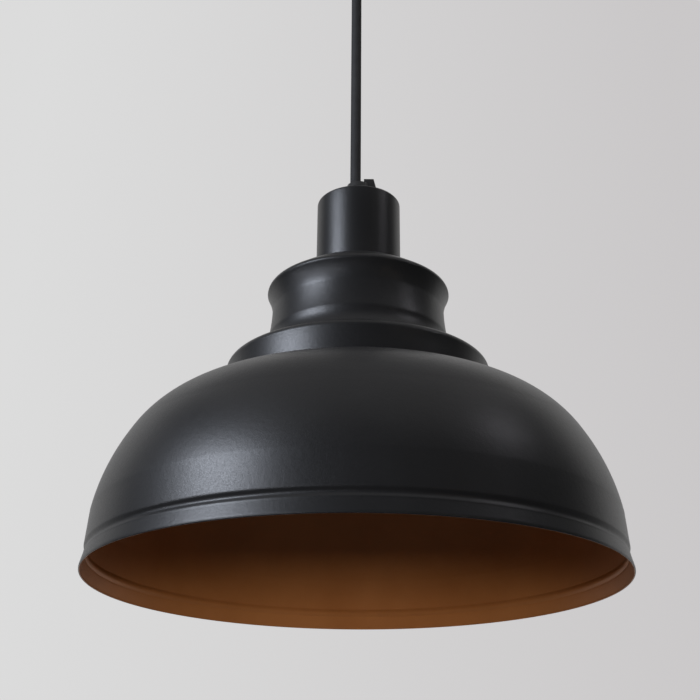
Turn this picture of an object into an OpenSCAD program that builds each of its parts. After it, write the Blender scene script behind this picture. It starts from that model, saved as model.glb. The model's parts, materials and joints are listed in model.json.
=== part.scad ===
// Pendant ceiling light: a spun steel dome shade on an E27 lampholder, hung by its flex from a
// ceiling cup. Origin at the ceiling face, in the middle of the cup; the lamp hangs towards -Z.
// Heights named h_... are measured upwards from the plane of the shade's rim.

/* [Hanging] */
// Distance from the ceiling down to the rim of the shade
drop = 475; // [470:1:1500]
// Outer diameter of the round flex
flex_d = 6.5; // [5.5:0.1:6.8]
// Sideways offset of the flex where the lamp's cord grip clamps it
flex_shift = 2; // [1.8:0.05:2.05]

/* [Shade] */
// Outer radius of the rim
rim_r = 145; // [142:0.5:160]
// Thickness of the steel sheet
sheet = 0.8; // [0.6:0.1:1]
// Height of the neck's flat top above the rim
h_neck_top = 186; // [185:0.5:188]
// Radius of the rounded edge at the top of the neck
neck_r = 53.3; // [52.5:0.1:54]
// Radius of the waist of the neck
waist_r = 50.1; // [49:0.1:51]
// Radius of the step between the neck and the bowl
step_r = 75; // [74.5:0.1:76]

/* [Lampholder cup] */
// Outer radius of the cup over the lampholder
cup_r = 25.1; // [24.6:0.1:26]
// Height of the cup's top above the rim
h_cup_top = 231.7; // [231.7:0.1:236]

/* [Ceiling cup] */
// Outer radius of the ceiling cup
canopy_r = 50; // [50:1:60]
// Height of the ceiling cup
canopy_h = 26; // [26:1:40]
// Distance between the two ceiling screws
screw_gap = 60; // [50:1:66]
// Radius of each ceiling screw hole
screw_hole_r = 2.5; // [2:0.1:3]

/* [Hidden] */
$fn = 96;
fit = 0.05;            // clearance around a threaded or close-fitting piece
face_gap = 0.1;        // gap between faces of pieces that move apart
cord_r = flex_d / 2;

// ---- heights above the rim ----
h_hole_top = h_neck_top + face_gap;       // underside of the lampholder's flange
h_neck_edge = 168.8;
h_neck_dome = 172.1;
h_waist = 157.8;
h_neck_foot = 140.4;
h_flare_end = 128.8;
h_step_dome = 122.1;
h_step_edge = 117.5;
h_step_foot = 100.2;
h_skirt_end = 157;
h_tip = 185;                              // top of the bulb's centre contact
lamp_grip_h = 16.4;
h_grip_top = h_cup_top + lamp_grip_h;
h_hinge = drop - canopy_h - 18;           // bend of the flex, inside the ceiling cup's grip
shade_hole_r = 20.5;
skirt_r = 19.8;
shell_r = 13.3;                           // inside radius of the E27 screw shell
m10_r = 4.95;

// ---- outline helpers ----
// Points on the arc from p to q that stands out by sag to the left of the line p to q
function arc(p, q, sag, n = 8) =
    let (c = norm(q - p), r = (c * c / 4 + sag * sag) / (2 * sag), d = (q - p) / c,
         left = [-d[1], d[0]], o = (p + q) / 2 - left * (r - sag),
         a = atan2(p[1] - o[1], p[0] - o[0]), turn = -4 * atan(2 * sag / c))
    [for (i = [1:n]) o + abs(r) * [cos(a + turn * i / n), sin(a + turn * i / n)]];
// The same outline moved by t to the right of its own direction
function inset(pts, t) =
    [for (i = [0:len(pts) - 1])
        let (a = pts[max(i - 1, 0)], b = pts[min(i + 1, len(pts) - 1)], d = (b - a) / norm(b - a))
        pts[i] + t * [d[1], -d[0]]];
function reversed(pts) = [for (i = [len(pts) - 1:-1:0]) pts[i]];

// ---- swept cords ----
function unit(v) = v / norm(v);
function tangent(p, i) = unit(p[min(i + 1, len(p) - 1)] - p[max(i - 1, 0)]);
// A direction across the cord that keeps to the Y axis unless the cord runs along Y
function across(t) = unit(cross(t, abs(t[1]) > 0.9 ? [1, 0, 0] : [0, 1, 0]));
// A smooth curve through the points p, with n steps between neighbours
function smooth(p, n) = concat([for (i = [0:len(p) - 2], k = [0:n - 1])
    let (a = p[max(i - 1, 0)], b = p[i], c = p[i + 1], d = p[min(i + 2, len(p) - 1)], u = k / n)
    0.5 * (2 * b + (c - a) * u + (2 * a - 5 * b + 4 * c - d) * u * u
        + (3 * b - a - 3 * c + d) * u * u * u)], [p[len(p) - 1]]);
module cord(p, r, sides = 8) {
    n = len(p);
    rings = [for (i = [0:n - 1])
        let (t = tangent(p, i), u = across(t), v = cross(t, u))
        for (k = [0:sides - 1]) p[i] + r * (u * cos(360 * k / sides) + v * sin(360 * k / sides))];
    walls = [for (i = [0:n - 2], k = [0:sides - 1])
        let (a = i * sides, b = a + sides, k2 = (k + 1) % sides)
        each [[a + k, a + k2, b + k2], [a + k, b + k2, b + k]]];
    first_end = [for (k = [sides - 1:-1:0]) k];
    last_end = [for (k = [0:sides - 1]) (n - 1) * sides + k];
    polyhedron(rings, concat(walls, [first_end, last_end]), convexity = 4);
}

// ---- shared shapes ----
module tube(r_out, r_in, h) {
    difference() {
        cylinder(r = r_out, h = h);
        translate([0, 0, -1]) cylinder(r = r_in, h = h + 2);
    }
}
// Slotted cheese-head screw: the head stands on z = 0 and the shank runs down
module cheese_screw(r, length, head_r, head_h) {
    difference() {
        union() {
            translate([0, 0, -length]) cylinder(r = r, h = length, $fn = 32);
            cylinder(r = head_r, h = head_h, $fn = 48);
        }
        translate([-head_r - 1, -0.4, head_h * 0.55]) cube([2 * head_r + 2, 0.8, head_h]);
    }
}
// Slotted grub screw along +Z from z = 0
module grub_screw(r, length) {
    difference() {
        cylinder(r = r, h = length, $fn = 32);
        translate([-r - 1, -0.35, length - 1]) cube([2 * r + 2, 0.7, 2]);
    }
}
module hex_nut(flats, r_in, h) {
    difference() {
        cylinder(r = flats / sqrt(3), h = h, $fn = 6);
        translate([0, 0, -1]) cylinder(r = r_in, h = h + 2);
    }
}

// ---- ceiling end ----
plate_t = 1.2;
plate_r = 43;
ear_r = canopy_r - sheet - 0.2;           // outer face of the plate's two bent ears
ear_w = 12;
ear_drop = 13;
side_screw_z = -8;
module mounting_plate() color("silver") difference() {
    union() {
        translate([0, 0, -plate_t]) cylinder(r = plate_r, h = plate_t);
        intersection() {
            union() {
                translate([-ear_r, -ear_w / 2, -plate_t]) cube([2 * ear_r, ear_w, plate_t]);
                for (side = [-1, 1]) translate([side * (ear_r - 1) - 1, -ear_w / 2, -ear_drop])
                    cube([2, ear_w, ear_drop]);
            }
            translate([0, 0, -ear_drop]) cylinder(r = ear_r, h = ear_drop);
        }
    }
    for (side = [-1, 1]) {
        translate([side * screw_gap / 2, 0, -plate_t - 1])
            cylinder(r = screw_hole_r, h = plate_t + 2);
        translate([side * (ear_r + 2), 0, side_screw_z]) rotate([0, -side * 90, 0])
            cylinder(r = 1.95 + fit, h = 6, $fn = 32);
    }
    translate([0, 0, -plate_t - 1]) cylinder(r = 10, h = plate_t + 2);
    translate([0, block_y, -plate_t - 1]) cylinder(r = 1.5 + fit, h = plate_t + 2, $fn = 32);
    translate([0, -earth_y, -plate_t - 1]) cylinder(r = 1.95 + fit, h = plate_t + 2, $fn = 32);
}

canopy_edge = 4;                          // rounding of the ceiling cup's lower edge
module canopy() color([0.11, 0.11, 0.12]) difference() {
    rotate_extrude() {
        outline = concat([[5.1, -canopy_h], [canopy_r - canopy_edge, -canopy_h]],
            arc([canopy_r - canopy_edge, -canopy_h], [canopy_r, canopy_edge - canopy_h],
                -canopy_edge * (1 - sqrt(0.5)), 8), [[canopy_r, 0]]);
        polygon(concat(outline, reversed(inset(outline, -sheet))));
    }
    for (side = [-1, 1])
        translate([side * (canopy_r + 1), 0, side_screw_z]) rotate([0, -side * 90, 0])
            cylinder(r = 2.2, h = 4, $fn = 32);
}

module canopy_screws() color("silver") for (side = [-1, 1])
    translate([side * (canopy_r + face_gap), 0, side_screw_z]) rotate([0, side * 90, 0])
        cheese_screw(1.95, 6, 3.6, 2.2);

// Cord grip: a round body on an M10 tail, with a boss at +X for the clamp screw.
// The tail starts at z = 0 and runs down; the body stands up to height from z = 0.
grip_r = 7.2;
boss_low = 11.9;
boss_high = 9.1;
boss_w = 9;
screw_z = 10.5;
module cord_grip(height, tail, body_bore, tail_bore, bore_depth) difference() {
    union() {
        rotate_extrude() polygon(concat([[0, 0], [8.6, 0], [8.6, 3], [grip_r, 5]],
            [[grip_r, height - 3]],
            arc([grip_r, height - 3], [grip_r - 2.6, height], -1.1, 6), [[0, height]]));
        translate([0, boss_w / 2, 0]) rotate([90, 0, 0]) linear_extrude(boss_w)
            polygon([[0, 3], [boss_low, 3], [boss_low, 5], [boss_high, height], [0, height]]);
        translate([0, 0, -tail]) cylinder(r = m10_r, h = tail + 1);
    }
    translate([0, 0, height - bore_depth]) cylinder(r = body_bore, h = bore_depth + 1);
    translate([0, 0, height - bore_depth - 3])
        cylinder(r1 = tail_bore, r2 = body_bore, h = 3 + fit);
    translate([0, 0, -tail - 1]) cylinder(r = tail_bore, h = tail + height - bore_depth - 1);
    translate([0, 0, screw_z]) rotate([0, 90, 0])
        cylinder(r = 1.95 + fit, h = boss_low + 1, $fn = 32);
}
canopy_grip_h = 20.3;
grip_tail_top = 7;
module canopy_grip() color([0.08, 0.08, 0.08])
    translate([0, 0, -canopy_h]) rotate([180, 0, 0])
        cord_grip(canopy_grip_h, grip_tail_top, 5.5, 3.6, 7.5);
module canopy_grip_nut() color("silver")
    translate([0, 0, sheet - canopy_h]) hex_nut(14, m10_r + fit, 3);
module canopy_grip_screw() color("silver")
    translate([cord_r + fit, 0, -canopy_h - screw_z]) rotate([0, 90, 0]) grub_screw(1.95, 5);

// Three-pole terminal block on the plate, and the earth screw opposite it
block_y = 26;
earth_y = 26;
block_size = [32, 16, 11];
pole_gap = 10;
barrel_r = 2.1;
block_z = -plate_t - block_size[2];
barrel_z = block_z + 4;
tag_t = 0.8;
tag_l = 11;
tag_z = -plate_t - tag_t - 0.05;
module terminal_block() color("ivory") difference() {
    translate([-block_size[0] / 2, block_y - block_size[1] / 2, block_z]) cube(block_size);
    for (pole = [-1:1]) translate([pole * pole_gap, block_y, 0]) {
        translate([0, block_size[1] / 2 + 1, barrel_z]) rotate([90, 0, 0])
            cylinder(r = barrel_r + fit, h = block_size[1] + 2, $fn = 32);
        for (end = [-1, 1]) translate([0, end * 4.5, block_z - 1])
            cylinder(r = 1.7, h = 5, $fn = 32);
    }
    for (pole = [-0.5, 0.5]) translate([pole * pole_gap, block_y, block_z - 1])
        cylinder(r = 1.6, h = block_size[2] + 2, $fn = 32);
}
module terminal_barrels() color("gold") for (pole = [-1:1])
    translate([pole * pole_gap, block_y + 6, barrel_z]) rotate([90, 0, 0]) difference() {
        cylinder(r = barrel_r, h = 12, $fn = 32);
        translate([0, 0, -1]) cylinder(r = 1.3, h = 14, $fn = 32);
        for (end = [1.5, 10.5]) translate([0, 0, end]) rotate([90, 0, 0])
            cylinder(r = 1.25 + fit, h = 5, $fn = 32);
    }
module terminal_screws() color("silver") for (pole = [-1:1], end = [-1, 1])
    translate([pole * pole_gap, block_y + end * 4.5, barrel_z - 1.6]) rotate([180, 0, 0])
        grub_screw(1.25, 2.4);
module block_screw() color("silver")
    translate([pole_gap / 2, block_y, block_z - face_gap]) rotate([180, 0, 0])
        cheese_screw(1.5, block_size[2] + face_gap, 2.8, 1.8);
module earth_screw() color("silver")
    translate([0, -earth_y, tag_z - 0.05]) rotate([180, 0, 0])
        cheese_screw(1.95, -tag_z, 3.8, 2.4);
module earth_tag() color("gold") translate([0, -earth_y, tag_z]) difference() {
    union() {
        cylinder(r = 4.2, h = tag_t);
        translate([-1.9, 0, 0]) cube([3.8, tag_l, tag_t]);
        translate([-1.9, tag_l - 5, -2]) cube([3.8, 5, 2.1]);
    }
    translate([0, 0, -1]) cylinder(r = 1.95 + fit, h = 3, $fn = 32);
}

// ---- flex and its cores ----
core_r = 1.15;
flex_top_end = -canopy_h + grip_tail_top + 2;
hinge_z = h_hinge - drop;
bend_gap = 0.08;                          // gap that lets the flex bend and twist at its hinge
module flex_top() color([0.06, 0.06, 0.06])
    translate([0, 0, hinge_z + cord_r + bend_gap])
        cylinder(r = cord_r, h = flex_top_end - hinge_z - cord_r - bend_gap);
module flex_bend() color([0.06, 0.06, 0.06]) translate([0, 0, hinge_z]) sphere(r = cord_r);
neck_l = 2.5;
flex_start = hinge_z - cord_r - 2 * bend_gap - neck_l;
grip_top_z = h_grip_top - drop;
sheath_end_z = grip_top_z - 29;
module flex_neck() color([0.06, 0.06, 0.06])
    translate([0, 0, flex_start + bend_gap]) cylinder(r = cord_r, h = neck_l);
// The flex leaves the ceiling cup on the axis, hangs beside the lamp's axis, and comes back
// towards it below the clamp in the lamp's cord grip
flex_route = [[0, 0, flex_start], [0, 0, flex_start - 6], [-0.2 * flex_shift, 0, -62],
    [-0.8 * flex_shift, 0, -72], [-flex_shift, 0, -80], [-flex_shift, 0, -100],
    [-flex_shift, 0, grip_top_z + 80], [-flex_shift, 0, grip_top_z + 40],
    [-flex_shift, 0, grip_top_z + 10], [-flex_shift, 0, grip_top_z],
    [-flex_shift, 0, grip_top_z - 7], [-0.8 * flex_shift, 0, grip_top_z - 11],
    [-0.15 * flex_shift, 0, grip_top_z - 16.5], [0, 0, grip_top_z - 22], [0, 0, sheath_end_z]];
module flex() color([0.06, 0.06, 0.06]) cord(smooth(flex_route, 3), cord_r, 12);

// Cores from the end of the outer sheath to the three poles and the earth tag
core_end_y = block_y - 4.2;
core_start = flex_top_end + 0.45;
tag_core_z = tag_z - 0.85;
module live_core_top() color("saddlebrown") cord(smooth([[-1.4, 0.8, core_start],
    [-1.8, 1.8, flex_top_end + 3], [-5, 7, -13.5], [-9, 13, -9.4],
    [-pole_gap, 17, barrel_z], [-pole_gap, core_end_y, barrel_z]], 3), core_r);
module neutral_core_top() color("royalblue") cord(smooth([[1.4, 0.8, core_start],
    [1.8, 1.8, flex_top_end + 3], [5, 7, -13.5], [9, 13, -9.4],
    [pole_gap, 17, barrel_z], [pole_gap, core_end_y, barrel_z]], 3), core_r);
module earth_core_top() color("yellowgreen") cord(smooth([[0, -1.6, core_start],
    [0, -2.6, flex_top_end + 3.5], [0, -5.5, -9], [0, -8.5, -5], [0, -12, tag_core_z],
    [0, tag_l + 0.1 - earth_y, tag_core_z]], 3), core_r);

// ---- lamp end; each module below works in heights above the rim ----
module at_rim() translate([0, 0, -drop]) children();

module lamp_grip() color([0.08, 0.08, 0.08]) at_rim()
    translate([0, 0, h_cup_top]) cord_grip(lamp_grip_h, 9.5, 5.5, 4, 13.4);
module lamp_grip_screw() color("silver") at_rim()
    translate([cord_r + face_gap - flex_shift, 0, h_cup_top + screw_z]) rotate([0, 90, 0])
        grub_screw(1.95, 7.5);

cup_edge = 1.6;
module holder_cup() color([0.11, 0.11, 0.12]) at_rim() difference() {
    rotate_extrude() {
        outline = concat([[m10_r + fit + 0.1, h_cup_top], [cup_r - cup_edge, h_cup_top]],
            arc([cup_r - cup_edge, h_cup_top], [cup_r, h_cup_top - cup_edge],
                cup_edge * (1 - sqrt(0.5)), 6), [[cup_r, h_neck_top + 0.15]]);
        polygon(concat(outline, reversed(inset(outline, sheet))));
    }
    translate([0, 14, h_cup_top - 2]) cylinder(r = 1.45 + fit, h = 4, $fn = 32);
}
h_nut = h_cup_top - sheet - 2.6;
module cup_nut() color("silver") at_rim() translate([0, 0, h_nut])
    hex_nut(14, m10_r + fit, 2.6);

cap_r = 20.6;
h_cap = 190;
module holder_cap() color([0.1, 0.1, 0.1]) at_rim() difference() {
    rotate_extrude() polygon(concat([[m10_r + fit, h_nut], [14, h_nut]],
        arc([14, h_nut], [cap_r, h_nut - 8], 2, 8), [[cap_r, h_cap], [18.6, h_cap],
        [18.6, h_nut - 8]], arc([18.6, h_nut - 8], [14, h_nut - 4], -1, 6),
        [[9, h_nut - 4], [9, h_nut - 6.5], [m10_r + fit, h_nut - 6.5]]));
    translate([0, 14, h_nut - 6]) cylinder(r = 2.9, h = 8, $fn = 32);
}
insert_r = 15.9;
module holder_skirt() color([0.1, 0.1, 0.1]) at_rim() rotate_extrude()
    polygon([[14.6, h_skirt_end], [skirt_r - 0.8, h_skirt_end], [skirt_r, h_skirt_end + 0.8],
        [skirt_r, h_hole_top], [22.6, h_hole_top], [22.6, h_hole_top + 3],
        [18.4, h_hole_top + 3], [18.4, h_hole_top + 8], [insert_r + 0.1, h_hole_top + 8],
        [insert_r + 0.1, h_skirt_end + 6], [14.6, h_skirt_end + 6]]);
h_disc = 186;
contact_x = 10;
module holder_insert() color("linen") at_rim() difference() {
    translate([0, 0, h_skirt_end + 6]) cylinder(r = insert_r, h = h_disc + 3 - h_skirt_end);
    translate([0, 0, h_skirt_end]) cylinder(r = shell_r + 0.5, h = h_disc - h_skirt_end);
    translate([0, 0, h_disc - 1]) cylinder(r = 2 + fit, h = 12, $fn = 32);
    translate([-contact_x, 0, h_disc - 1]) cylinder(r = 1.5 + fit, h = 12, $fn = 32);
    translate([-3 - fit, -3.5 - fit, h_disc + 4]) cube([6 + 2 * fit, 7 + 2 * fit, 6]);
    translate([-contact_x - 3 - fit, -3.5 - fit, h_disc + 4])
        cube([6 + 2 * fit, 7 + 2 * fit, 6]);
}
module screw_shell() color("gold") at_rim()
    translate([0, 0, h_skirt_end + 6.2]) tube(shell_r + 0.4, shell_r, h_disc - h_skirt_end - 8.2);

// A contact: a tongue under the insulator, a rivet through it and a clamp block above it
module contact(tongue, rivet_r) {
    difference() {
        union() {
            translate(tongue[0]) cube(tongue[1]);
            translate([0, 0, h_disc - 0.1]) cylinder(r = rivet_r, h = 4.3, $fn = 32);
            translate([-3, -3.5, h_disc + 4.05]) cube([6, 7, 5]);
        }
        translate([0, 1.6, h_disc + 5]) cylinder(r = 1.3 + fit, h = 6, $fn = 32);
        translate([0, -1.6, h_disc + 6]) cylinder(r = 0.9, h = 6, $fn = 32);
    }
}
module centre_contact() color("gold") at_rim()
    contact([[-3.5, -2.5, h_tip + 0.1], [7, 5, h_disc - h_tip - 0.15]], 2);
module side_contact() color("gold") at_rim() translate([-contact_x, 0, 0])
    contact([[-3.4, -2.5, h_disc - 1.9], [4.5, 5, 1.85]], 1.5);
module holder_screws() color("silver") at_rim() for (x = [0, -contact_x])
    translate([x, 1.6, h_disc + 9.2]) cheese_screw(1.3, 3, 1.9, 1.4);

h_sheath_end = sheath_end_z + drop;
h_core_start = h_sheath_end - 0.3;
module live_core() color("saddlebrown") at_rim() cord(smooth([[1.3, -0.6, h_core_start],
    [1.5, -0.9, h_sheath_end - 3], [2.2, -2, 209], [0.6, -2.2, 203], [0, -1.6, 198],
    [0, -1.6, h_disc + 9.1]], 3), 0.85);
module neutral_core() color("royalblue") at_rim() cord(smooth([[-1.3, -0.6, h_core_start],
    [-2, -1, h_sheath_end - 3], [-6, -2, 210], [-9, -2.1, 204], [-contact_x, -1.6, 199],
    [-contact_x, -1.6, h_disc + 9.1]], 3), 0.85);
module earth_core() color("yellowgreen") at_rim() cord(smooth([[0, 1.4, h_core_start],
    [0, 2.2, h_sheath_end - 3], [0, 6, 213.4], [0, 11, 214.5], [0, 13.6, 217.5],
    [0, 14, 221.7]], 3), 0.85);
module cup_earth_screw() color("silver") at_rim() translate([0, 14, h_cup_top + face_gap])
    cheese_screw(1.45, 10, 2.6, 1.2);

// ---- shade and its ring ----
bowl_c = [step_r + 0.5, 40.5];            // centre of the bowl's upper arc
bowl_arc_r = 59.3;
bowl_foot_a = 30;                         // angle at which the upper arc hands over to the side
groove_h = 10;                            // height of the rolled line above the rim
groove_r = rim_r - 1.6;
groove_w = 2.6;                           // half the height of the rolled line
groove_depth = 0.85;
bowl_side = bowl_c + bowl_arc_r * [cos(bowl_foot_a), sin(bowl_foot_a)];
bowl_low = [rim_r - 3, 30];
shade_outline = concat(
    [[shade_hole_r, h_neck_top], [25.5, h_neck_top]],
    arc([25.5, h_neck_top], [neck_r - 2.6, h_neck_dome], 1.1, 8),
    arc([neck_r - 2.6, h_neck_dome], [neck_r, h_neck_edge], 0.7, 6),
    arc([neck_r, h_neck_edge], [waist_r, h_waist], -0.6, 6),
    arc([waist_r, h_waist], [waist_r + 1.8, h_neck_foot], -0.35, 5),
    arc([waist_r + 1.8, h_neck_foot], [waist_r + 5, h_flare_end], -1.2, 6),
    arc([waist_r + 5, h_flare_end], [step_r - 3.5, h_step_dome], 0.8, 6),
    arc([step_r - 3.5, h_step_dome], [step_r, h_step_edge], 1.3, 6),
    [[step_r + 0.2, h_step_foot + 1.6]],
    [[step_r + 1.4, h_step_foot - 0.3]],
    [for (a = [84:-3:bowl_foot_a]) bowl_c + bowl_arc_r * [cos(a), sin(a)]],
    arc(bowl_side, bowl_low, 2.1, 10),
    [for (i = [-4:4]) [groove_r - groove_depth * (1 + cos(180 * i / 4)) / 2,
        groove_h - groove_w * i / 4]],
    [[rim_r, 0.5], [rim_r, 0]]);
module shade() color([0.11, 0.11, 0.12]) at_rim() rotate_extrude($fn = 128)
    polygon(concat(shade_outline, reversed(inset(shade_outline, sheet))));

ring_h = 9;
ring_flange_r = 25;
module shade_ring() color([0.1, 0.1, 0.1]) at_rim() difference() {
    translate([0, 0, h_neck_top - sheet - face_gap - ring_h]) union() {
        translate([0, 0, ring_h - 2.5]) cylinder(r = ring_flange_r, h = 2.5);
        cylinder(r = ring_flange_r - 2.2, h = ring_h);
        for (a = [0:30:330]) rotate([0, 0, a]) translate([ring_flange_r - 3, -1.5, 0])
            cube([2.4, 3, ring_h - 2]);
    }
    translate([0, 0, h_neck_top - ring_h - 4]) cylinder(r = skirt_r + 0.08, h = ring_h + 6);
}

// ---- bulb ----
cap_thread_r = 13.1;
module bulb_tip() color("silver") at_rim() rotate_extrude()
    polygon(concat([[0, h_tip - 1.6], [4.5, h_tip - 1.6]],
        arc([4.5, h_tip - 1.6], [0, h_tip], -0.35, 6)));
module bulb_insulator() color([0.05, 0.05, 0.06]) at_rim() rotate_extrude()
    polygon([[0, h_tip - 6], [11.6, h_tip - 6], [11.6, h_tip - 5.2], [5.5, h_tip - 1.7],
        [0, h_tip - 1.7]]);
module bulb_cap() color("silver") at_rim() translate([0, 0, h_tip - 26])
    tube(cap_thread_r, cap_thread_r - 0.5, 19.9);
module bulb_housing() color("white") at_rim() rotate_extrude()
    polygon(concat([[0, 132], [26, 132]], arc([26, 132], [15.4, h_tip - 30], -2.4, 10),
        [[12.5, h_tip - 28], [12.5, h_tip - 20], [0, h_tip - 20]]));
module led_board() color("gainsboro") at_rim() {
    translate([0, 0, 130.4]) cylinder(r = 22, h = 1.5);
    for (a = [0:45:315]) rotate([0, 0, a]) translate([14, -1.4, 129.6]) cube([2.8, 2.8, 0.85]);
}
globe_r = 30;
h_globe = 108;
glass = 1;
module bulb_globe() color([0.95, 0.95, 0.92]) at_rim() rotate_extrude() {
    outline = concat([[26, 131.9]], arc([26, 131.9], [globe_r, h_globe], 1.3, 8),
        [for (a = [-6:-6:-84]) [0, h_globe] + globe_r * [cos(a), sin(a)]]);
    polygon(concat(outline, [[0, h_globe - globe_r], [0, h_globe - globe_r + glass]],
        reversed(inset(outline, glass))));
}

mounting_plate();
canopy();
canopy_screws();
canopy_grip();
canopy_grip_nut();
canopy_grip_screw();
terminal_block();
terminal_barrels();
terminal_screws();
block_screw();
earth_screw();
earth_tag();
live_core_top();
neutral_core_top();
earth_core_top();
flex_top();
flex_bend();
flex_neck();
flex();
lamp_grip();
lamp_grip_screw();
holder_cup();
cup_nut();
holder_cap();
holder_skirt();
holder_insert();
screw_shell();
centre_contact();
side_contact();
holder_screws();
live_core();
neutral_core();
earth_core();
cup_earth_screw();
shade();
shade_ring();
bulb_tip();
bulb_cap();
bulb_insulator();
bulb_housing();
led_board();
bulb_globe();
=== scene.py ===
"""Looks of the pendant ceiling light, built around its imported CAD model. Metres, +Z up."""

import json
import math

import bmesh
import bpy
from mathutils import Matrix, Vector


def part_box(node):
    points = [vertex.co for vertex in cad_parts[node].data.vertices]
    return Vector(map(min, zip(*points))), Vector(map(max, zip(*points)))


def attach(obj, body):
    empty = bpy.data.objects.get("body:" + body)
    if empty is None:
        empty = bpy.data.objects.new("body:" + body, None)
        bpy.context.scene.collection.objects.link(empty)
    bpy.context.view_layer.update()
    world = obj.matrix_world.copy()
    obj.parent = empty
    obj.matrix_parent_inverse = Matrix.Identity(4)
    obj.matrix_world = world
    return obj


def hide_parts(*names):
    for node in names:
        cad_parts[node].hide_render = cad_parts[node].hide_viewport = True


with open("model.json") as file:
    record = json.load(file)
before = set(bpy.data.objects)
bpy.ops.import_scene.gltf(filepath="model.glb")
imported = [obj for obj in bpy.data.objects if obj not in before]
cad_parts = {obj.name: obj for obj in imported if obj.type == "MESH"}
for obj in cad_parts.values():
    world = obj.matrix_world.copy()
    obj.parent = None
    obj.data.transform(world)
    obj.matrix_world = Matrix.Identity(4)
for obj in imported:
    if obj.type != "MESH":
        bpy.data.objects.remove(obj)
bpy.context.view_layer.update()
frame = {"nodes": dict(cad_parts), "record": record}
nodes = frame["nodes"]
scene = bpy.context.scene
MM = 0.001

# ---- sizes taken from the frame ----
shade_low, shade_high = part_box("shade")
RIM_Z, RIM_R, NECK_TOP_Z = shade_low.z, shade_high.x, shade_high.z
cup_low, cup_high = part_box("holder_cup")
canopy_low, canopy_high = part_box("canopy")
flex_low, flex_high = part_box("flex")
skirt_low, skirt_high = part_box("holder_skirt")
ring_low, ring_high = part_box("shade_ring")
cap_low, cap_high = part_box("bulb_cap")
housing_low, housing_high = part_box("bulb_housing")
globe_low, globe_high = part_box("bulb_globe")
HINGE_Z = (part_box("flex_bend")[0].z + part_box("flex_bend")[1].z) / 2
SHEET = 0.8 * MM            # thickness of the spun steel
M10_HOLE_R = 5.1 * MM       # hole that the tail of a cord grip passes through
QUARTER_SAG = 1 - math.sqrt(0.5)        # sag of a quarter circle, as a share of its radius
FLEX_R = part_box("flex_top")[1].x


# ---- camera: the near view that the drawn shape was fitted to, below the lamp, looking up ----
def make_camera():
    distance, below_rim = 605 * MM, 123.7 * MM
    pitch, roll = math.radians(23.2), math.radians(0.27)
    data = bpy.data.cameras.new("camera")
    data.lens = 58.4
    data.sensor_width = 36
    data.shift_x = -0.0114
    data.clip_start = 0.01
    camera = bpy.data.objects.new("camera", data)
    scene.collection.objects.link(camera)
    camera.location = (0, -distance, RIM_Z - below_rim)
    camera.rotation_mode = "YXZ"
    camera.rotation_euler = (math.pi / 2 + pitch, 0, 0)
    camera.rotation_euler.rotate_axis("Z", roll)
    scene.camera = camera


# ---- outlines ----
def arc(p, q, sag, n=8):
    """Points on the arc from p to q that stands out by sag to the left of the line p to q."""
    p, q = Vector(p), Vector(q)
    d = q - p
    chord = d.length
    d.normalize()
    left = Vector((-d.y, d.x))
    radius = (chord * chord / 4 + sag * sag) / (2 * sag)
    centre = (p + q) / 2 - left * (radius - sag)
    start = math.atan2(p.y - centre.y, p.x - centre.x)
    turn = -4 * math.atan(2 * sag / chord)
    return [(centre.x + abs(radius) * math.cos(start + turn * i / n),
             centre.y + abs(radius) * math.sin(start + turn * i / n)) for i in range(1, n + 1)]


def inset(points, t):
    """The outline moved by t to the right of its own direction."""
    out = []
    for i, p in enumerate(points):
        a, b = Vector(points[max(i - 1, 0)]), Vector(points[min(i + 1, len(points) - 1)])
        d = (b - a).normalized()
        out.append((p[0] + t * d.y, p[1] - t * d.x))
    return out


def steps_along(points, spacing):
    """The same outline with more points, no further apart than spacing."""
    out = [points[0]]
    for p, q in zip(points, points[1:]):
        n = max(1, math.ceil(math.dist(p, q) / spacing))
        out += [(p[0] + (q[0] - p[0]) * k / n, p[1] + (q[1] - p[1]) * k / n)
                for k in range(1, n + 1)]
    return out


def at_height(points, base):
    """An outline in millimetres, with heights above base, turned into metres."""
    return [(r * MM, base + h * MM) for r, h in points]


# ---- meshes ----
def shade_smooth(mesh, sharp):
    """Smooth shading, except across edges of more than sharp degrees."""
    mesh.polygons.foreach_set("use_smooth", [True] * len(mesh.polygons))
    mesh.set_sharp_from_angle(angle=math.radians(sharp))


def finish_mesh(name, bm, finishes):
    """The object made from bm, which is used up."""
    bmesh.ops.recalc_face_normals(bm, faces=bm.faces)
    mesh = bpy.data.meshes.new(name)
    bm.to_mesh(mesh)
    bm.free()
    for finish in finishes:
        mesh.materials.append(finish)
    shade_smooth(mesh, 35)
    piece = bpy.data.objects.new(name, mesh)
    scene.collection.objects.link(piece)
    return piece


def lathe(name, outline, finishes, steps, closed=True, second=None, ripple=None):
    """A body of revolution about Z. Faces from outline index second[0] up to second[1] take the
    second finish. The outline joins up with its start if closed.
    ripple(radius, z, angle) gives the radius where the body isn't quite round."""
    on_axis = 1e-7
    bm = bmesh.new()
    rings = []
    for r, z in outline:
        if r < on_axis:
            rings.append([bm.verts.new((0, 0, z))] * steps)
            continue
        ring = []
        for k in range(steps):
            a = math.tau * k / steps
            radius = ripple(r, z, a) if ripple else r
            ring.append(bm.verts.new((radius * math.cos(a), radius * math.sin(a), z)))
        rings.append(ring)
    spans = list(zip(range(len(rings)), range(1, len(rings))))
    if closed:
        spans.append((len(rings) - 1, 0))
    for i, j in spans:
        for k in range(steps):
            n = (k + 1) % steps
            corners = []
            for v in (rings[i][k], rings[i][n], rings[j][n], rings[j][k]):
                if v not in corners:
                    corners.append(v)
            if len(corners) > 2:
                face = bm.faces.new(corners)
                face.material_index = int(second is not None and second[0] <= i < second[1])
    return finish_mesh(name, bm, finishes)


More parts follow.
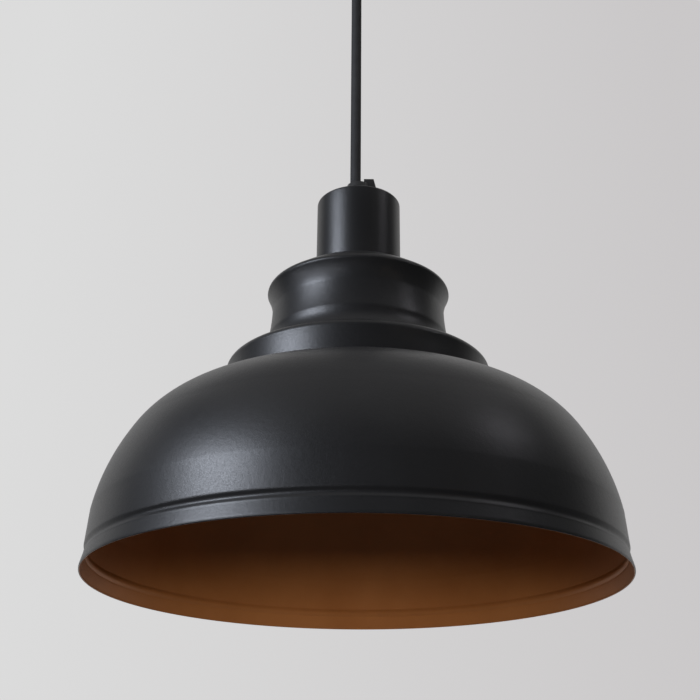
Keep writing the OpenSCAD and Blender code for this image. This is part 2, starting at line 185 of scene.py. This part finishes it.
def prism(outline, width):
    """The outline (x, z) drawn out along Y to that width, centred."""
    bm = bmesh.new()
    back = [bm.verts.new((x, width / 2, z)) for x, z in outline]
    face = bm.faces.new(back)
    new = bmesh.ops.extrude_face_region(bm, geom=[face])["geom"]
    moved = [v for v in new if isinstance(v, bmesh.types.BMVert)]
    bmesh.ops.translate(bm, vec=(0, -width, 0), verts=moved)
    return finish_mesh("prism", bm, [])


def cut(piece, other, operation):
    """piece with other joined to it or cut from it; other is used up."""
    bpy.context.view_layer.update()
    modifier = piece.modifiers.new("cut", "BOOLEAN")
    modifier.operation = operation
    modifier.solver = "EXACT"
    modifier.object = other
    bake_modifiers(piece)
    bpy.data.objects.remove(other)


def bake_modifiers(piece):
    """The piece's mesh becomes what its modifiers make of it."""
    graph = bpy.context.evaluated_depsgraph_get()
    mesh = bpy.data.meshes.new_from_object(piece.evaluated_get(graph))
    piece.modifiers.clear()
    piece.data = mesh


def soften(piece, width, angle, segments):
    """Rounds the piece's edges that turn by more than angle degrees."""
    bevel = piece.modifiers.new("soft_edges", "BEVEL")
    bevel.width = width
    bevel.segments = segments
    bevel.limit_method = "ANGLE"
    bevel.angle_limit = math.radians(angle)
    bevel.harden_normals = True


def place(piece, body, slot, *stands_for):
    """The piece rides body and is shown instead of the CAD nodes named. The slot is not used."""
    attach(piece, body)
    if stands_for:
        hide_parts(*stands_for)


# ---- materials ----
class Finish:
    """A procedural material under construction: a Principled shader and the nodes that feed it."""

    def __init__(self, name, **fixed):
        self.material = bpy.data.materials.new(name)
        self.material.use_nodes = True
        self.tree = self.material.node_tree
        self.shader = self.tree.nodes["Principled BSDF"]
        self.place = self.tree.nodes.new("ShaderNodeTexCoord").outputs["Object"]
        for socket, value in fixed.items():
            self.shader.inputs[socket.replace("_", " ")].default_value = value

    def link(self, a, b):
        self.tree.links.new(a, b)

    def stretched(self, scale):
        """Object coordinates scaled by a different factor along each axis."""
        node = self.tree.nodes.new("ShaderNodeMapping")
        node.inputs["Scale"].default_value = scale
        self.link(self.place, node.inputs["Vector"])
        return node.outputs["Vector"]

    def noise(self, size, detail=3.0, rough=0.5, where=None):
        """A noise with features of about size metres."""
        node = self.tree.nodes.new("ShaderNodeTexNoise")
        node.inputs["Scale"].default_value = 1 / size
        node.inputs["Detail"].default_value = detail
        node.inputs["Roughness"].default_value = rough
        self.link(where or self.place, node.inputs["Vector"])
        return node.outputs["Fac"]

    def spread(self, value, low, high, to_low=0.0, to_high=1.0):
        """value, with low..high stretched to to_low..to_high and clamped there."""
        node = self.tree.nodes.new("ShaderNodeMapRange")
        for socket, number in zip(("From Min", "From Max", "To Min", "To Max"),
                                  (low, high, to_low, to_high)):
            node.inputs[socket].default_value = number
        self.link(value, node.inputs["Value"])
        return node.outputs["Result"]

    def mix(self, factor, a, b):
        """A colour between a and b; each is a colour or another node's output."""
        node = self.tree.nodes.new("ShaderNodeMix")
        node.data_type = "RGBA"
        self.link(factor, node.inputs["Factor"])
        for socket, value in ((node.inputs["A"], a), (node.inputs["B"], b)):
            if isinstance(value, bpy.types.NodeSocket):
                self.link(value, socket)
            else:
                socket.default_value = (*value, 1)
        return node.outputs["Result"]

    def colour(self, value):
        self.link(value, self.shader.inputs["Base Color"])

    def roughness(self, value):
        self.link(value, self.shader.inputs["Roughness"])

    def bump(self, *layers):
        """Each layer is (height output, depth in metres); they add up."""
        normal = None
        for height, depth in layers:
            node = self.tree.nodes.new("ShaderNodeBump")
            node.inputs["Distance"].default_value = depth
            node.inputs["Strength"].default_value = 1
            self.link(height, node.inputs["Height"])
            if normal:
                self.link(normal, node.inputs["Normal"])
            normal = node.outputs["Normal"]
        self.link(normal, self.shader.inputs["Normal"])


def powder_coat(name, dark, light, rough, sparkle=None, **fixed):
    """Baked powder paint: a slow orange peel, a fine grain, and pale specks of dust."""
    f = Finish(name, **fixed)
    grain = f.noise(0.55 * MM, 2)
    peel = f.noise(2.4 * MM, 2)
    patches = f.noise(55 * MM, 4, 0.6)
    base = f.mix(f.spread(patches, 0.35, 0.65), dark, light)
    specks = f.spread(f.noise(0.8 * MM, 4, 0.7), 0.66, 0.78, 0, 0.35)
    f.colour(f.mix(specks, base, sparkle or [min(1, c * 3) for c in light]))
    f.roughness(f.spread(grain, 0.3, 0.7, rough - 0.05, rough + 0.06))
    f.bump((peel, 0.05 * MM), (grain, 0.035 * MM))
    return f.material


def moulded(name, dark, light, rough, grain_size=0.3, depth=0.012, **fixed):
    """Moulded plastic or rubber: an even colour with faint flow marks and a fine texture."""
    f = Finish(name, **fixed)
    flow = f.noise(9 * MM, 4, 0.6)
    grain = f.noise(grain_size * MM, 2)
    f.colour(f.mix(f.spread(flow, 0.3, 0.7), dark, light))
    f.roughness(f.spread(grain, 0.3, 0.7, rough - 0.06, rough + 0.06))
    f.bump((grain, depth * MM))
    return f.material


def metal(name, dark, light, rough, streaks=(0.2, 0.2, 3.0), **fixed):
    """Bare or plated metal with fine tool marks and duller patches."""
    f = Finish(name, Metallic=1.0, **fixed)
    marks = f.noise(0.6 * MM, 3, 0.6, f.stretched([1 / s for s in streaks]))
    tarnish = f.noise(6 * MM, 5, 0.65)
    f.colour(f.mix(f.spread(tarnish, 0.35, 0.7), light, dark))
    f.roughness(f.spread(marks, 0.3, 0.7, rough - 0.08, rough + 0.1))
    f.bump((marks, 0.01 * MM))
    return f.material


def striped_core(name):
    """Green insulation with a yellow stripe that winds round it."""
    f = Finish(name)
    waves = f.tree.nodes.new("ShaderNodeTexWave")
    waves.wave_type = "BANDS"
    waves.bands_direction = "X"
    waves.inputs["Scale"].default_value = 130
    waves.inputs["Distortion"].default_value = 0.4
    f.link(f.place, waves.inputs["Vector"])
    f.colour(f.mix(f.spread(waves.outputs["Fac"], 0.45, 0.55), (0.02, 0.22, 0.03), (0.75, 0.6, 0.02)))
    f.roughness(f.spread(f.noise(0.5 * MM), 0.3, 0.7, 0.34, 0.46))
    return f.material


def opal_glass(name):
    """Opal cover of the bulb: white, softly glossy, with light spreading inside it."""
    f = Finish(name, Subsurface_Weight=0.35, Subsurface_Scale=0.004, IOR=1.5, Coat_Weight=0.3,
               Coat_Roughness=0.08)
    cloud = f.noise(14 * MM, 3)
    f.colour(f.mix(f.spread(cloud, 0.3, 0.7), (0.80, 0.79, 0.76), (0.86, 0.855, 0.84)))
    f.roughness(f.spread(f.noise(1.5 * MM), 0.3, 0.7, 0.22, 0.30))
    f.bump((f.noise(5 * MM, 2), 0.02 * MM))
    return f.material


def circuit_board(name):
    """White solder mask with printed tracks showing through it."""
    f = Finish(name)
    cells = f.tree.nodes.new("ShaderNodeTexVoronoi")
    cells.feature = "DISTANCE_TO_EDGE"
    cells.inputs["Scale"].default_value = 160
    f.link(f.place, cells.inputs["Vector"])
    f.colour(f.mix(f.spread(cells.outputs["Distance"], 0.04, 0.06),
                   (0.55, 0.53, 0.46), (0.82, 0.82, 0.80)))
    f.roughness(f.spread(f.noise(0.6 * MM), 0.3, 0.7, 0.35, 0.5))
    return f.material


def make_finishes():
    return {
        "black_paint": powder_coat("black_powder_coat", (0.0062, 0.0062, 0.0068),
                                   (0.0085, 0.0085, 0.0092), 0.38, IOR=1.5),
        "bronze_paint": powder_coat("bronze_inside", (0.42, 0.155, 0.045), (0.48, 0.185, 0.057),
                                    0.46, sparkle=(0.75, 0.42, 0.20), Metallic=0.3),
        "black_sheath": moulded("flex_sheath", (0.018, 0.018, 0.0185), (0.025, 0.025, 0.026), 0.7,
                                 Specular_IOR_Level=0.3),
        "black_nylon": moulded("black_nylon", (0.012, 0.012, 0.0125), (0.018, 0.018, 0.0185), 0.42),
        "black_bakelite": moulded("black_bakelite", (0.012, 0.011, 0.010), (0.02, 0.017, 0.015),
                                  0.3, 0.6, Coat_Weight=0.15),
        "zinc_steel": metal("zinc_plate", (0.40, 0.41, 0.43), (0.62, 0.63, 0.64), 0.34),
        "brass": metal("brass", (0.52, 0.36, 0.14), (0.80, 0.60, 0.28), 0.3),
        "nickel": metal("nickel_plate", (0.52, 0.50, 0.46), (0.70, 0.68, 0.63), 0.25),
        "solder": metal("solder", (0.42, 0.42, 0.43), (0.66, 0.66, 0.66), 0.4),
        "brown_core": moulded("brown_insulation", (0.10, 0.035, 0.014), (0.13, 0.05, 0.02), 0.4),
        "blue_core": moulded("blue_insulation", (0.015, 0.10, 0.36), (0.02, 0.13, 0.44), 0.4),
        "green_yellow_core": striped_core("green_yellow_insulation"),
        "ivory_nylon": moulded("ivory_nylon", (0.62, 0.58, 0.47), (0.70, 0.66, 0.56), 0.45,
                               Subsurface_Weight=0.2, Subsurface_Scale=0.003),
        "porcelain": moulded("glazed_porcelain", (0.70, 0.68, 0.63), (0.78, 0.76, 0.72), 0.2, 1.5,
                             Coat_Weight=0.4),
        "black_glass": moulded("fused_glass", (0.006, 0.006, 0.009), (0.012, 0.011, 0.014), 0.12),
        "white_plastic": moulded("white_plastic", (0.74, 0.74, 0.72), (0.80, 0.80, 0.78), 0.38, 0.5,
                                 Subsurface_Weight=0.1, Subsurface_Scale=0.002),
        "board": circuit_board("led_board"),
        "opal_glass": opal_glass("opal_cover"),
    }


# ---- the flex ----
def smooth(points, n):
    """A smooth curve through the points, with n steps between neighbours."""
    out = []
    for i in range(len(points) - 1):
        a, b = Vector(points[max(i - 1, 0)]), Vector(points[i])
        c, d = Vector(points[i + 1]), Vector(points[min(i + 2, len(points) - 1)])
        for k in range(n):
            u = k / n
            out.append(0.5 * (2 * b + (c - a) * u + (2 * a - 5 * b + 4 * c - d) * u * u
                              + (3 * b - a - 3 * c + d) * u ** 3))
    out.append(Vector(points[-1]))
    return out


def make_flex(finish):
    """From the bend in the ceiling cup's grip down into the lamp's grip, which pushes it aside."""
    shift = 2 * MM
    top, bottom = flex_high.z, flex_low.z
    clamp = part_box("lamp_grip")[1].z
    route = [(0, 0, HINGE_Z), (0, 0, top), (0, 0, top - 6 * MM), (-0.2 * shift, 0, -62 * MM),
             (-0.8 * shift, 0, -72 * MM), (-shift, 0, -80 * MM), (-shift, 0, -100 * MM),
             (-shift, 0, clamp + 80 * MM), (-shift, 0, clamp + 40 * MM),
             (-shift, 0, clamp + 10 * MM), (-shift, 0, clamp), (-shift, 0, clamp - 7 * MM),
             (-0.8 * shift, 0, clamp - 11 * MM), (-0.15 * shift, 0, clamp - 16.5 * MM),
             (0, 0, clamp - 22 * MM), (0, 0, bottom)]
    points = smooth(route, 6)
    data = bpy.data.curves.new("flex_cord", "CURVE")
    data.dimensions = "3D"
    data.bevel_depth = FLEX_R
    data.bevel_resolution = 8
    data.use_fill_caps = True
    data.materials.append(finish)
    spline = data.splines.new("POLY")
    spline.points.add(len(points) - 1)
    for target, p in zip(spline.points, points):
        target.co = (*p, 1)
    spline.use_smooth = True
    flex = bpy.data.objects.new("flex_cord", data)
    scene.collection.objects.link(flex)
    place(flex, "lamp", "black_sheath", "flex", "flex_neck")


# ---- shade ----
def shade_outline():
    """The outside, from the hole in the neck's top down to the rim, as (radius, height) in mm."""
    rim = RIM_R / MM
    top = (NECK_TOP_Z - RIM_Z) / MM
    neck, waist, step = 53.3, 50.1, 75.0
    neck_dome, neck_edge, waist_h, foot, flare = 172.1, 168.8, 157.8, 140.4, 128.8
    step_dome, step_edge, step_foot = 122.1, 117.5, 100.2
    groove, groove_w, groove_depth, groove_end = 10.0, 2.6, 0.85, 3.2
    bowl_x, bowl_h, bowl_r, hand_over = step + 0.5, 40.5, 59.3, 30
    bowl = [(bowl_x + bowl_r * math.cos(math.radians(a)), bowl_h + bowl_r * math.sin(math.radians(a)))
            for a in range(84, hand_over - 1, -1)]
    low = (rim - 3, 30)
    line = rim - 1.6
    lip = 0.4
    points = [(20.5, top), (23, top), (25.5, top)]
    points += arc((25.5, top), (neck - 2.6, neck_dome), 1.1, 24)
    points += arc((neck - 2.6, neck_dome), (neck, neck_edge), 0.7, 12)
    points += arc((neck, neck_edge), (waist, waist_h), -0.6, 16)
    points += arc((waist, waist_h), (waist + 1.8, foot), -0.35, 12)
    points += arc((waist + 1.8, foot), (waist + 5, flare), -1.2, 16)
    points += arc((waist + 5, flare), (step - 3.5, step_dome), 0.8, 14)
    points += arc((step - 3.5, step_dome), (step, step_edge), 1.3, 14)
    points += [(step + 0.05, 112), (step + 0.1, 107), (step + 0.2, step_foot + 1.6)]
    points += arc((step + 0.2, step_foot + 1.6), (step + 1.4, step_foot - 0.3), -0.3, 5)
    points += bowl + arc(bowl[-1], low, 2.1, 30)
    points += [(line - 0.06, groove + groove_end)]
    points += [(line - groove_depth * (1 + math.cos(math.pi * k / 12)) / 2,
                groove - groove_w * k / 12) for k in range(-12, 13)]
    points += [(line + 0.1, groove - groove_end), (rim - 0.1, 1.6), (rim, 1), (rim, lip)]
    return points


def make_shade(black, bronze):
    """One sheet, black as far as the middle of its rounded lip and bronze from there inwards."""
    outside = shade_outline()
    inside = inset(outside, SHEET / MM)[::-1]
    radius = SHEET / MM / 2
    lip_x, lip_h = outside[-1][0] - radius, outside[-1][1]
    lip = [(lip_x + radius * math.cos(a), lip_h - radius * math.sin(a))
           for a in (math.pi * k / 8 for k in range(1, 8))]
    outline = outside + lip + [(lip_x - radius, lip_h)] + inside[1:]
    first = len(outside) + len(lip) // 2
    shade = lathe("shade_shell", at_height(outline, RIM_Z), [black, bronze], 256,
                  second=(first, len(outline) - 1))
    place(shade, "shade", "black_paint", "shade")


# ---- lampholder cup, cord grips and ceiling cup ----
def make_cup(black):
    radius, top, bottom = cup_high.x, cup_high.z, cup_low.z
    edge, hem = 1.6 * MM, 0.3 * MM
    outside = [(M10_HOLE_R, top), (radius * 0.6, top), (radius - edge, top)]
    outside += arc((radius - edge, top), (radius, top - edge), edge * QUARTER_SAG, 12)
    outside += [(radius, top - 8 * MM), (radius, bottom + 8 * MM), (radius, bottom + hem)]
    inside = inset(outside, SHEET)[::-1]
    cup = lathe("cup_shell", outside + [(radius - hem, bottom), (radius - SHEET, bottom)] + inside,
                [black], 160)
    place(cup, "lamp", "black_paint", "holder_cup")


def make_canopy(black):
    radius, top, bottom = canopy_high.x, canopy_high.z, canopy_low.z
    edge = 4 * MM
    outside = [(radius, top), (radius, top - 10 * MM), (radius, bottom + edge)]
    outside += arc((radius, bottom + edge), (radius - edge, bottom), edge * QUARTER_SAG, 16)
    outside += [(radius * 0.5, bottom), (M10_HOLE_R, bottom)]
    canopy = lathe("canopy_shell", outside + inset(outside, SHEET)[::-1], [black], 160)
    place(canopy, "ceiling", "black_paint", "canopy")


def make_grip(name, node, body, finish, upside_down, height, tail_bore, depth):
    """Round cord grip on a threaded tail, with a flat-topped boss for its clamp screw at +X.
    Its bore is wide for depth below the top and tail_bore wide in the tail. Radii and heights
    are in mm, measured from the shoulder between body and tail."""
    low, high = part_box(node)
    round_r, base_r, tail_r, bore = 7.2, 8.6, 4.95, 5.5
    boss_low, boss_high, boss_w = 11.9, 9.1, 9
    screw_r, screw_h, screw_reach = 2, 10.5, 14
    length = (high.z - low.z) / MM
    tail = length - height
    edge = arc((round_r, height - 3), (round_r - 2.6, height), 1.1, 10)
    outline = [(0, -tail), (tail_r, -tail), (tail_r, 0), (base_r, 0), (base_r, 3), (round_r, 5),
               (round_r, height - 3)] + edge + [(0, height)]
    grip = lathe(name, at_height(outline, 0), [finish], 72, closed=False)
    boss = [(0, 3), (boss_low, 3), (boss_low, 5), (boss_high, height), (0, height)]
    cut(grip, prism(at_height(boss, 0), boss_w * MM), "UNION")
    hole = [(0, height + 2), (bore, height + 2), (bore, height - depth), (tail_bore, height - depth - 3),
            (tail_bore, -tail - 1), (0, -tail - 1)]
    cut(grip, lathe("bore", at_height(hole, 0), [], 48, closed=False), "DIFFERENCE")
    tap = [(0, 0), (screw_r, 0), (screw_r, screw_reach), (0, screw_reach)]
    screw_hole = lathe("screw_hole", at_height(tap, 0), [], 32, closed=False)
    screw_hole.rotation_euler = (0, math.pi / 2, 0)
    screw_hole.location = (0, 0, screw_h * MM)
    cut(grip, screw_hole, "DIFFERENCE")
    soften(grip, width=0.35 * MM, angle=32, segments=3)
    bake_modifiers(grip)
    shade_smooth(grip.data, 40)
    if upside_down:
        grip.rotation_euler = (math.pi, 0, 0)
        grip.location = (0, 0, high.z - tail * MM)
    else:
        grip.location = (0, 0, low.z + tail * MM)
    place(grip, body, "black_nylon", node)


# ---- lampholder and bulb ----
def thread(low, high, pitch, depth, fade):
    """Ripple of a rounded thread of that pitch between two heights, cut into the radius."""
    def ripple(radius, z, angle):
        if not low <= z <= high:
            return radius
        ease = min(1.0, (z - low) / fade, (high - z) / fade)
        wave = 0.5 - 0.5 * math.cos(math.tau * (z / pitch + angle / math.tau))
        return radius - depth * wave * ease
    return ripple


def make_skirt(finish):
    """Lampholder skirt, threaded outside for the shade ring, with a flange above the thread."""
    base = skirt_low.z
    low, high = base + 1 * MM, base + 27 * MM
    bore_r, crest_r, flange_r, collar_r, socket_r = 14.6, 19.8, 22.6, 18.4, 16.0
    flange_h, collar_h, top_h, seat_h = 29.1, 32.1, 37.1, 6
    outside = [(bore_r, 0), (crest_r - 0.8, 0), (crest_r, 0.8), (crest_r, flange_h),
               (flange_r, flange_h), (flange_r, collar_h), (collar_r, collar_h), (collar_r, top_h),
               (socket_r, top_h), (socket_r, seat_h), (bore_r, seat_h)]
    outline = steps_along(at_height(outside, base), 0.4 * MM)
    cut_thread = thread(low, high, 3 * MM, 0.8 * MM, 1.5 * MM)
    skirt = lathe("holder_skirt_threaded", outline, [finish], 96,
                  ripple=lambda r, z, a: cut_thread(r, z, a) if r > 19.5 * MM else r)
    place(skirt, "lamp", "black_bakelite", "holder_skirt")


def make_ring(finish):
    """Ring with finger ribs round it, which clamps the shade against the lampholder's flange."""
    base, top = ring_low.z, ring_high.z
    flange, body_r, rib = ring_high.x, 22.8 * MM, 1.4 * MM
    skirt_flange, clearance = 2.8 * MM, 0.08 * MM
    bore = skirt_high.x - skirt_flange + clearance
    flange_z = top - 2.5 * MM
    ribs = 24
    outline = [(bore, base + 0.4 * MM), (bore + 0.4 * MM, base), (body_r - 0.6 * MM, base),
               (body_r, base + 0.6 * MM), (body_r, flange_z - 0.6 * MM), (body_r + 0.6 * MM, flange_z),
               (flange - 0.5 * MM, flange_z), (flange, flange_z + 0.5 * MM), (flange, top - 0.4 * MM),
               (flange - 0.4 * MM, top), (bore + 0.4 * MM, top), (bore, top - 0.4 * MM)]

    def ripple(radius, z, angle):
        if radius < body_r - 0.1 * MM or radius > body_r + 0.1 * MM or z > flange_z - 0.5 * MM:
            return radius
        return radius + rib * max(0.0, math.cos(ribs * angle)) ** 0.6

    ring = lathe("shade_ring_ribbed", steps_along(outline, 1 * MM), [finish], 384, ripple=ripple)
    place(ring, "shade_ring", "black_bakelite", "shade_ring")


def make_bulb(finishes):
    """Threaded cap, white housing and opal cover."""
    low, high, crest = cap_low.z, cap_high.z, cap_high.x
    wall, shoulder, pitch = 0.5 * MM, 0.8 * MM, 3.629 * MM
    outside = [(crest - 1.2 * MM, low), (crest - 0.3 * MM, low + 0.4 * MM), (crest, low + shoulder),
               (crest, high - shoulder), (crest - 0.5 * MM, high)]
    outside = steps_along(outside, 0.3 * MM)
    cut_thread = thread(low + shoulder, high - shoulder, pitch, 1.1 * MM, 1.2 * MM)
    outline = outside + inset(outside, -wall)[::-1]
    cap = lathe("bulb_cap_threaded", outline, [finishes["nickel"]], 96, ripple=cut_thread)
    place(cap, "bulb", "nickel", "bulb_cap")

    base, top = housing_low.z, housing_high.z
    foot, neck = housing_high.x, 15.4 * MM
    flank = arc((foot - 0.25 * MM, base + 1.2 * MM), (neck, base + 23 * MM), -2.4 * MM, 30)
    outline = [(0, base), (foot - 0.6 * MM, base), (foot, base + 0.3 * MM), (foot, base + 0.8 * MM),
               (foot - 0.25 * MM, base + 1.2 * MM), *flank, (13.4 * MM, base + 24.3 * MM),
               (12.5 * MM, base + 25 * MM), (12.0 * MM, top - 0.5 * MM), (11.5 * MM, top), (0, top)]
    housing = lathe("bulb_housing_turned", outline, [finishes["white_plastic"]], 128, closed=False)
    place(housing, "bulb", "white_plastic", "bulb_housing")

    bottom, top, radius, wall = globe_low.z, globe_high.z, 30 * MM, 1 * MM
    centre = bottom + radius
    outside = [(26 * MM, top)] + arc((26 * MM, top), (radius, centre), 1.3 * MM, 24)
    outside += [(radius * math.cos(math.radians(a)), centre - radius * math.sin(math.radians(a)))
                for a in range(3, 88, 3)]
    inside = inset(outside, wall)[::-1]
    outline = outside + [(0, bottom), (0, bottom + wall)] + inside
    globe = lathe("bulb_opal_cover", outline, [finishes["opal_glass"]], 128)
    place(globe, "bulb", "opal_glass", "bulb_globe")


# ---- CAD nodes that stay ----
def finish_cad(finishes):
    """Every CAD node that is still shown takes its slot's finish."""
    slots = {part["node"]: part["material_slot"] for part in frame["record"]["subparts"]}
    for name, node in nodes.items():
        if node.hide_render:
            continue
        node.data.materials.clear()
        node.data.materials.append(finishes[slots[name]])


# ---- studio ----
LAMP_MIDDLE = Vector((0, 0, -0.38))


def around_lamp(bearing, height, distance=1.8):
    """A place at that bearing (0 towards the camera, negative to the left) and height, in degrees."""
    bearing, height = math.radians(bearing), math.radians(height)
    return LAMP_MIDDLE + distance * Vector((math.sin(bearing) * math.cos(height),
                                            -math.cos(bearing) * math.cos(height),
                                            math.sin(height)))


def light(name, where, size, power, colour, aim=LAMP_MIDDLE):
    """A softbox of that size (across, up) and power in watts, facing aim and hidden from view."""
    data = bpy.data.lights.new(name, "AREA")
    data.shape = "RECTANGLE"
    data.size, data.size_y = size
    data.energy = power
    data.color = colour
    lamp = bpy.data.objects.new(name, data)
    scene.collection.objects.link(lamp)
    lamp.location = where
    lamp.rotation_euler = (Vector(where) - Vector(aim)).to_track_quat("Z", "Y").to_euler()
    lamp.visible_camera = False
    return lamp


def pale_surface(name, colour, rough):
    """Matte paint of the studio, with a faint unevenness."""
    f = Finish(name)
    f.colour(f.mix(f.spread(f.noise(0.6, 3), 0.3, 0.7), [c * 0.97 for c in colour], colour))
    f.roughness(f.spread(f.noise(0.02, 2), 0.3, 0.7, rough - 0.05, rough + 0.05))
    return f.material


def lit_wall(name, left, right, reach):
    """A wall that glows from the left colour at X = -reach to the right colour at X = reach."""
    f = Finish(name, Base_Color=(0, 0, 0, 1), Specular_IOR_Level=0.0, Emission_Strength=1.0)
    parts = f.tree.nodes.new("ShaderNodeSeparateXYZ")
    f.link(f.place, parts.inputs["Vector"])
    f.link(f.mix(f.spread(parts.outputs["X"], -reach, reach), left, right),
           f.shader.inputs["Emission Color"])
    return f.material


def make_studio():
    scene.view_settings.view_transform = "Standard"
    world = bpy.data.worlds.new("studio")
    scene.world = world
    world.use_nodes = True
    background = world.node_tree.nodes["Background"]
    background.inputs["Color"].default_value = (0.95, 0.97, 1.0, 1)
    background.inputs["Strength"].default_value = 0.06

    floor_z, wall_r, wall_h, glow_reach = RIM_Z - 0.95, 3.4, 5, 1.25
    bm = bmesh.new()
    bmesh.ops.create_circle(bm, cap_ends=True, segments=96, radius=wall_r + 0.2)
    bmesh.ops.translate(bm, vec=(0, 0, floor_z), verts=bm.verts)
    floor = finish_mesh("floor", bm, [pale_surface("floor_paint", (0.72, 0.71, 0.70), 0.7)])

    # a round wall; the camera sees it and the floor, but they don't light the lamp or show in it
    bm = bmesh.new()
    bmesh.ops.create_cone(bm, cap_ends=False, segments=128, radius1=wall_r, radius2=wall_r,
                          depth=wall_h)
    bmesh.ops.translate(bm, vec=(0, 0, floor_z + wall_h / 2), verts=bm.verts)
    paint = lit_wall("wall_glow", (0.715, 0.715, 0.715), (0.59, 0.575, 0.58), glow_reach)
    wall = finish_mesh("backdrop", bm, [paint])
    for stage in (floor, wall):
        stage.visible_glossy = False
        stage.visible_diffuse = False
        stage.visible_shadow = False

    light("window", around_lamp(-58, 24), (0.8, 0.4), 22, (0.82, 0.88, 1.0))
    light("sill", around_lamp(-52, 1), (2.2, 0.16), 8, (0.86, 0.9, 1.0))
    light("right_window", around_lamp(74, 41), (0.25, 0.25), 1.2, (0.95, 0.93, 1.0))
    light("warm_lamp", around_lamp(38, 6), (0.15, 0.15), 0.25, (1.0, 0.8, 0.6))
    light("ceiling_glow", (0, 0, 1.4), (3, 3), 9, (1.0, 0.98, 0.97))
    light("wall_behind", (0, 2.0, 0.6), (8, 4.4), 62, (1.0, 0.99, 0.98), aim=(0, 0, 0.6))
    low_front = light("low_front", (0, -2.0, -0.66), (1.2, 0.3), 20, (1.0, 0.97, 0.93))
    low_front.visible_glossy = False


make_camera()
finishes = make_finishes()
make_flex(finishes["black_sheath"])
make_shade(finishes["black_paint"], finishes["bronze_paint"])
make_cup(finishes["black_paint"])
make_canopy(finishes["black_paint"])
make_grip("lamp_grip_moulded", "lamp_grip", "lamp", finishes["black_nylon"], False, 16.4,
          4.0, 13.4)
make_grip("canopy_grip_moulded", "canopy_grip", "ceiling", finishes["black_nylon"], True, 20.3,
          3.6, 7.5)
make_skirt(finishes["black_bakelite"])
make_ring(finishes["black_bakelite"])
make_bulb(finishes)
finish_cad(finishes)
make_studio()
